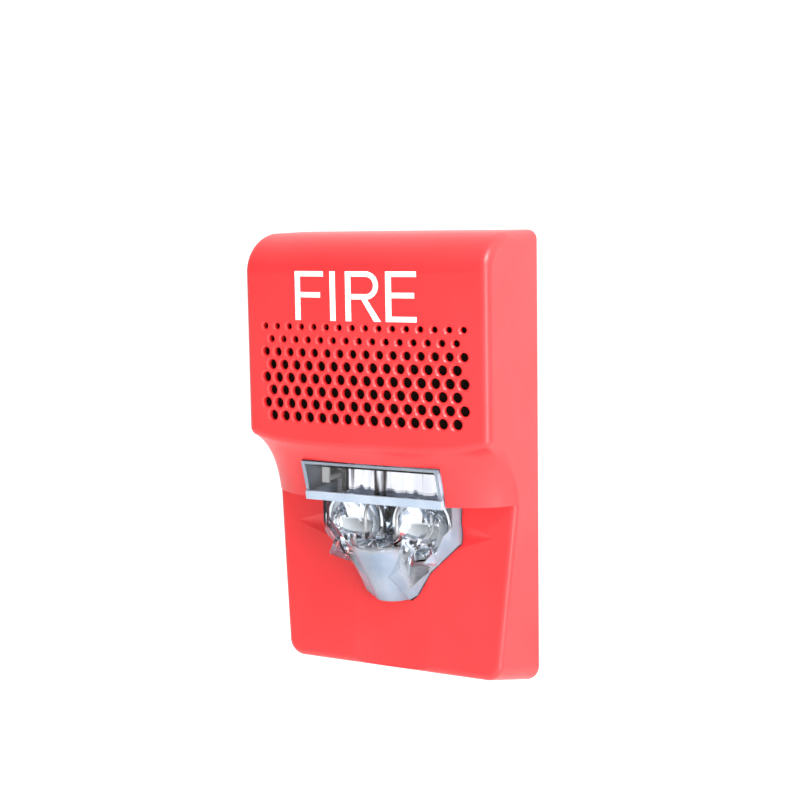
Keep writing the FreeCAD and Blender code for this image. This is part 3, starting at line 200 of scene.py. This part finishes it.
def band(look, axis, low, high, soft):
    """1 between two heights along an object axis, in metres, with soft ends."""
    apart = look.add("ShaderNodeSeparateXYZ")
    look.join(look.place, apart.inputs["Vector"])
    rise, fall = look.add("ShaderNodeMapRange"), look.add("ShaderNodeMapRange")
    for node, edge, ends in ((rise, low, (0, 1)), (fall, high, (1, 0))):
        node.interpolation_type = "SMOOTHSTEP"
        node.inputs["From Min"].default_value = edge - soft
        node.inputs["From Max"].default_value = edge + soft
        node.inputs["To Min"].default_value, node.inputs["To Max"].default_value = ends
        look.join(apart.outputs[axis], node.inputs["Value"])
    both = look.add("ShaderNodeMath", operation="MULTIPLY")
    look.join(rise.outputs["Result"], both.inputs[0])
    look.join(fall.outputs["Result"], both.inputs[1])
    return both.outputs["Value"]


def scaled(look, source, factor, offset=0.0):
    node = look.add("ShaderNodeMath", operation="MULTIPLY_ADD")
    node.inputs[1].default_value = factor
    node.inputs[2].default_value = offset
    look.join(source, node.inputs[0])
    return node.outputs["Value"]


def joined(look, first, second, operation="MULTIPLY"):
    node = look.add("ShaderNodeMath", operation=operation)
    look.join(first, node.inputs[0])
    look.join(second, node.inputs[1])
    return node.outputs["Value"]


def beyond(look, normal, reach, soft=0.00025):
    """1 where the mirrored place (|x|, |y|, |z|) lies past a slanted plane, with a soft edge."""
    mirrored = look.add("ShaderNodeVectorMath", operation="ABSOLUTE")
    look.join(look.place, mirrored.inputs[0])
    dot = look.add("ShaderNodeVectorMath", operation="DOT_PRODUCT")
    dot.inputs[1].default_value = normal
    look.join(mirrored.outputs["Vector"], dot.inputs[0])
    step = look.add("ShaderNodeMapRange", interpolation_type="SMOOTHSTEP")
    step.inputs["From Min"].default_value = reach - soft
    step.inputs["From Max"].default_value = reach + soft
    look.join(dot.outputs["Value"], step.inputs["Value"])
    return step.outputs["Result"]


def edge_walls(look):
    """The lens's outer walls seen on edge: its sides, its two slanted flanks and its top."""
    sides = beyond(look, (1, 0, 0), LENS_SIDE)
    upper_flank = beyond(look, *UPPER_FLANK)
    lower_flank = beyond(look, *LOWER_FLANK)
    top = band(look, "Z", *LENS_TOP, 0.0002)
    flanks = joined(look, upper_flank, lower_flank, "MAXIMUM")
    return joined(look, joined(look, sides, flanks, "MAXIMUM"), top, "MAXIMUM")


def clear(name):
    """Clear plastic with a painted reflection on its lip, its nose and its edge walls: there it turns
    blue-grey and lets less light through.
    """
    look = Finish(name)
    lip = band(look, "Z", *LIP, 0.00012)
    height = band(look, "Z", *NOSE_HEIGHT, 0.0016)
    width = band(look, "X", -NOSE_HALF_WIDTH, NOSE_HALF_WIDTH, 0.002)
    depth = band(look, "Y", *NOSE_DEPTH, 0.002)
    nose = joined(look, joined(look, height, width), depth)
    walls = edge_walls(look)
    edge = scaled(look, walls, EDGE_REFLECTION_PAINT)
    # Painted reflection: where this mask is high the plastic is less clear and shows the blue-grey colour
    painted_reflection = joined(look, scaled(look, lip, LIP_REFLECTION_PAINT), scaled(look, nose, NOSE_REFLECTION_PAINT), "MAXIMUM")
    painted_reflection = joined(look, painted_reflection, edge, "MAXIMUM")
    look.join(scaled(look, painted_reflection, -1.0, 1.0), look.shader.inputs["Transmission Weight"])
    # Near-white clear plastic, turning to the blue-grey painted reflection on the lip, nose and edge walls
    painted_reflection_mix = look.add("ShaderNodeMix", data_type="RGBA")
    painted_reflection_zones = joined(look, joined(look, lip, nose, "MAXIMUM"), walls, "MAXIMUM")
    look.join(painted_reflection_zones, painted_reflection_mix.inputs["Factor"])
    look.join(look.ramp(look.noise(60), (0.965, 0.98, 0.99), (0.99, 0.995, 1.0)), painted_reflection_mix.inputs["A"])
    look.join(look.ramp(look.noise(90), (0.36, 0.44, 0.55), (0.50, 0.57, 0.67)), painted_reflection_mix.inputs["B"])
    look.join(painted_reflection_mix.outputs["Result"], look.shader.inputs["Base Color"])
    look.roughness(0.0, 0.03, 500)
    look.bump(380, 0.000006, 2.0)
    return look.set(IOR=1.25)


def mirror(name):
    """Metallised plastic: smooth bowls, and behind the window upright painted dark reflection streaks and
    flutes.
    """
    look = Finish(name)
    # Painted reflection: dark upright streaks on the mirror strip behind the window stand in for the dark
    # bars seen in it
    upright = look.noise(330, 1.5, (1.0, 0.2, 0.08))
    painted_reflection_streaks = look.ramp(upright, (0.02, 0.012, 0.015), (0.78, 0.78, 0.85), 0.37, 0.45)
    bright = look.ramp(look.noise(300), (0.74, 0.78, 0.83), (0.82, 0.85, 0.89))
    mixed = look.add("ShaderNodeMix", data_type="RGBA")
    look.join(band(look, "Z", *MIRROR_STRIP, 0.0002), mixed.inputs["Factor"])
    look.join(bright, mixed.inputs["A"])
    look.join(painted_reflection_streaks, mixed.inputs["B"])
    look.join(mixed.outputs["Result"], look.shader.inputs["Base Color"])
    look.roughness(0.04, 0.12, 200)
    flutes = look.add("ShaderNodeTexNoise")
    flutes.inputs["Scale"].default_value = 260
    flutes.inputs["Detail"].default_value = 1.0
    squeeze = look.add("ShaderNodeMapping")
    squeeze.inputs["Scale"].default_value = (1.0, 0.2, 0.16)
    look.join(look.place, squeeze.inputs["Vector"])
    look.join(squeeze.outputs["Vector"], flutes.inputs["Vector"])
    waves = joined(look, flutes.outputs["Fac"], band(look, "Z", *MIRROR_STRIP, 0.0002))
    look.bump(0, 0.0016, source=waves)
    return look.set(Metallic=1.0)


FINISHES = {
    "red_cover": red_cover(),
    "white_legend": plastic("white_legend", (0.90, 0.90, 0.87), (0.95, 0.95, 0.93), 0.45, 1500, 0.000004),
    "black_cloth": cloth(),
    "plate_plastic": plastic("plate_plastic", (0.53, 0.525, 0.50), (0.58, 0.575, 0.55), 0.5),
    "block_plastic": plastic("block_plastic", (0.025, 0.20, 0.09), (0.04, 0.26, 0.12), 0.42),
    "plated_screws": metal("plated_screws", (0.60, 0.60, 0.62), (0.78, 0.77, 0.75), 0.24),
    "cage_metal": metal("cage_metal", (0.62, 0.56, 0.42), (0.78, 0.72, 0.58), 0.26),
    "contact_metal": metal("contact_metal", (0.72, 0.50, 0.20), (0.86, 0.64, 0.30), 0.22),
    "board_white": board(),
    "can_sleeve": plastic("can_sleeve", (0.022, 0.024, 0.045), (0.035, 0.036, 0.06), 0.22, 900,
                          0.000003, 0.04),
    "coil_copper": coil(),
    "black_parts": plastic("black_parts", (0.018, 0.018, 0.019), (0.032, 0.031, 0.030), 0.5),
    "white_knobs": plastic("white_knobs", (0.82, 0.82, 0.79), (0.88, 0.88, 0.86), 0.4),
    "yoke_steel": metal("yoke_steel", (0.44, 0.44, 0.46), (0.60, 0.59, 0.57), 0.32),
    "magnet_dark": metal("magnet_dark", (0.07, 0.07, 0.075), (0.13, 0.13, 0.13), 0.45),
    "diaphragm_film": plastic("diaphragm_film", (0.45, 0.34, 0.19), (0.58, 0.46, 0.28), 0.25, 700, 0.000006),
    "lead_cover": plastic("lead_cover", (0.50, 0.03, 0.03), (0.62, 0.05, 0.045), 0.45),
    "clear_lens": clear("clear_lens"),
    "bright_reflector": mirror("bright_reflector"),
}

for part in frame["record"]["subparts"]:
    mesh = nodes[part["node"]].data
    mesh.materials.clear()
    mesh.materials.append(FINISHES[part["material_slot"]])


# --------------------------------------------------------------------------------------
# Camera
# --------------------------------------------------------------------------------------
YAW, PITCH, ROLL = math.radians(28.74), math.radians(6.94), math.radians(-0.93)
LOOKED_AT = Vector((-5.849, 0, 15.118)) * MM
DISTANCE = 505.27 * MM
FOCAL_LENGTH = 69.20644                 # millimetres, on a 36 mm sensor
ahead = Vector((-math.sin(YAW) * math.cos(PITCH), math.cos(YAW) * math.cos(PITCH), -math.sin(PITCH)))
level = Vector((math.cos(YAW), math.sin(YAW), 0))
upward = level.cross(ahead)
across = level * math.cos(ROLL) + upward * math.sin(ROLL)
upright = upward * math.cos(ROLL) - level * math.sin(ROLL)
camera = bpy.data.objects.new("camera", bpy.data.cameras.new("camera"))
bpy.context.collection.objects.link(camera)
turn = Matrix((across, upright, -ahead)).transposed().to_4x4()
camera.matrix_world = Matrix.Translation(LOOKED_AT - ahead * DISTANCE) @ turn
camera.data.sensor_fit = "AUTO"
camera.data.sensor_width = 36.0
camera.data.lens = FOCAL_LENGTH
camera.data.clip_start, camera.data.clip_end = 0.01, 20
bpy.context.scene.camera = camera


# --------------------------------------------------------------------------------------
# Studio: pale floor, white surround, soft lamps
# --------------------------------------------------------------------------------------
def card(name, width, height, place, aim, material):
    """A flat rectangle facing a point."""
    mesh = bpy.data.meshes.new(name)
    half_w, half_h = width / 2, height / 2
    corners = [(-half_w, -half_h, 0), (half_w, -half_h, 0), (half_w, half_h, 0), (-half_w, half_h, 0)]
    mesh.from_pydata(corners, [], [(0, 1, 2, 3)])
    mesh.materials.append(material)
    piece = bpy.data.objects.new(name, mesh)
    bpy.context.collection.objects.link(piece)
    piece.location = place
    piece.rotation_mode = "QUATERNION"
    piece.rotation_quaternion = (Vector(aim) - Vector(place)).to_track_quat("Z", "Y")
    return piece


def lamp(name, size, place, aim, power):
    """A square area lamp facing a point."""
    light = bpy.data.lights.new(name, "AREA")
    light.size = size
    light.energy = power
    piece = bpy.data.objects.new(name, light)
    bpy.context.collection.objects.link(piece)
    piece.location = place
    piece.rotation_mode = "QUATERNION"
    piece.rotation_quaternion = (Vector(aim) - Vector(place)).to_track_quat("-Z", "Y")
    return piece


SKY_MEAN = 0.95                         # strength of the sky averaged over all directions
SKY_LEAN = (0.44, 0.50, 0.34)           # and how much stronger it is to the right, behind and above
FLOOR_SIZE, FLOOR_DROP = 12, 0.25
scene = bpy.context.scene
scene.view_settings.view_transform = "Standard"
world = bpy.data.worlds.new("studio")
world.use_nodes = True
sky = world.node_tree
way = sky.nodes.new("ShaderNodeTexCoord")
lean = sky.nodes.new("ShaderNodeVectorMath")
lean.operation = "DOT_PRODUCT"
lean.inputs[1].default_value = SKY_LEAN
sky.links.new(way.outputs["Generated"], lean.inputs[0])
level_up = sky.nodes.new("ShaderNodeMath")
level_up.operation = "ADD"
level_up.inputs[1].default_value = SKY_MEAN
sky.links.new(lean.outputs["Value"], level_up.inputs[0])
sky.links.new(level_up.outputs["Value"], sky.nodes["Background"].inputs["Strength"])
sky.nodes["Background"].inputs["Color"].default_value = (1, 1, 1, 1)
scene.world = world

pale = plastic("pale_floor", (0.92, 0.92, 0.92), (0.96, 0.96, 0.96), 0.8)
low, high = start_box
middle = (low + high) / 2
card("floor", FLOOR_SIZE, FLOOR_SIZE, (middle.x, middle.y, low.z - FLOOR_DROP), (middle.x, middle.y, 5), pale)
lamp("key", 0.35, (0.80, -0.50, 1.05), middle, 22.0)
strip = lamp("strip", 0.16, (0.85, -0.50, -0.05), middle, 8.0)
strip.data.shape = "RECTANGLE"
strip.data.size_y = 0.9
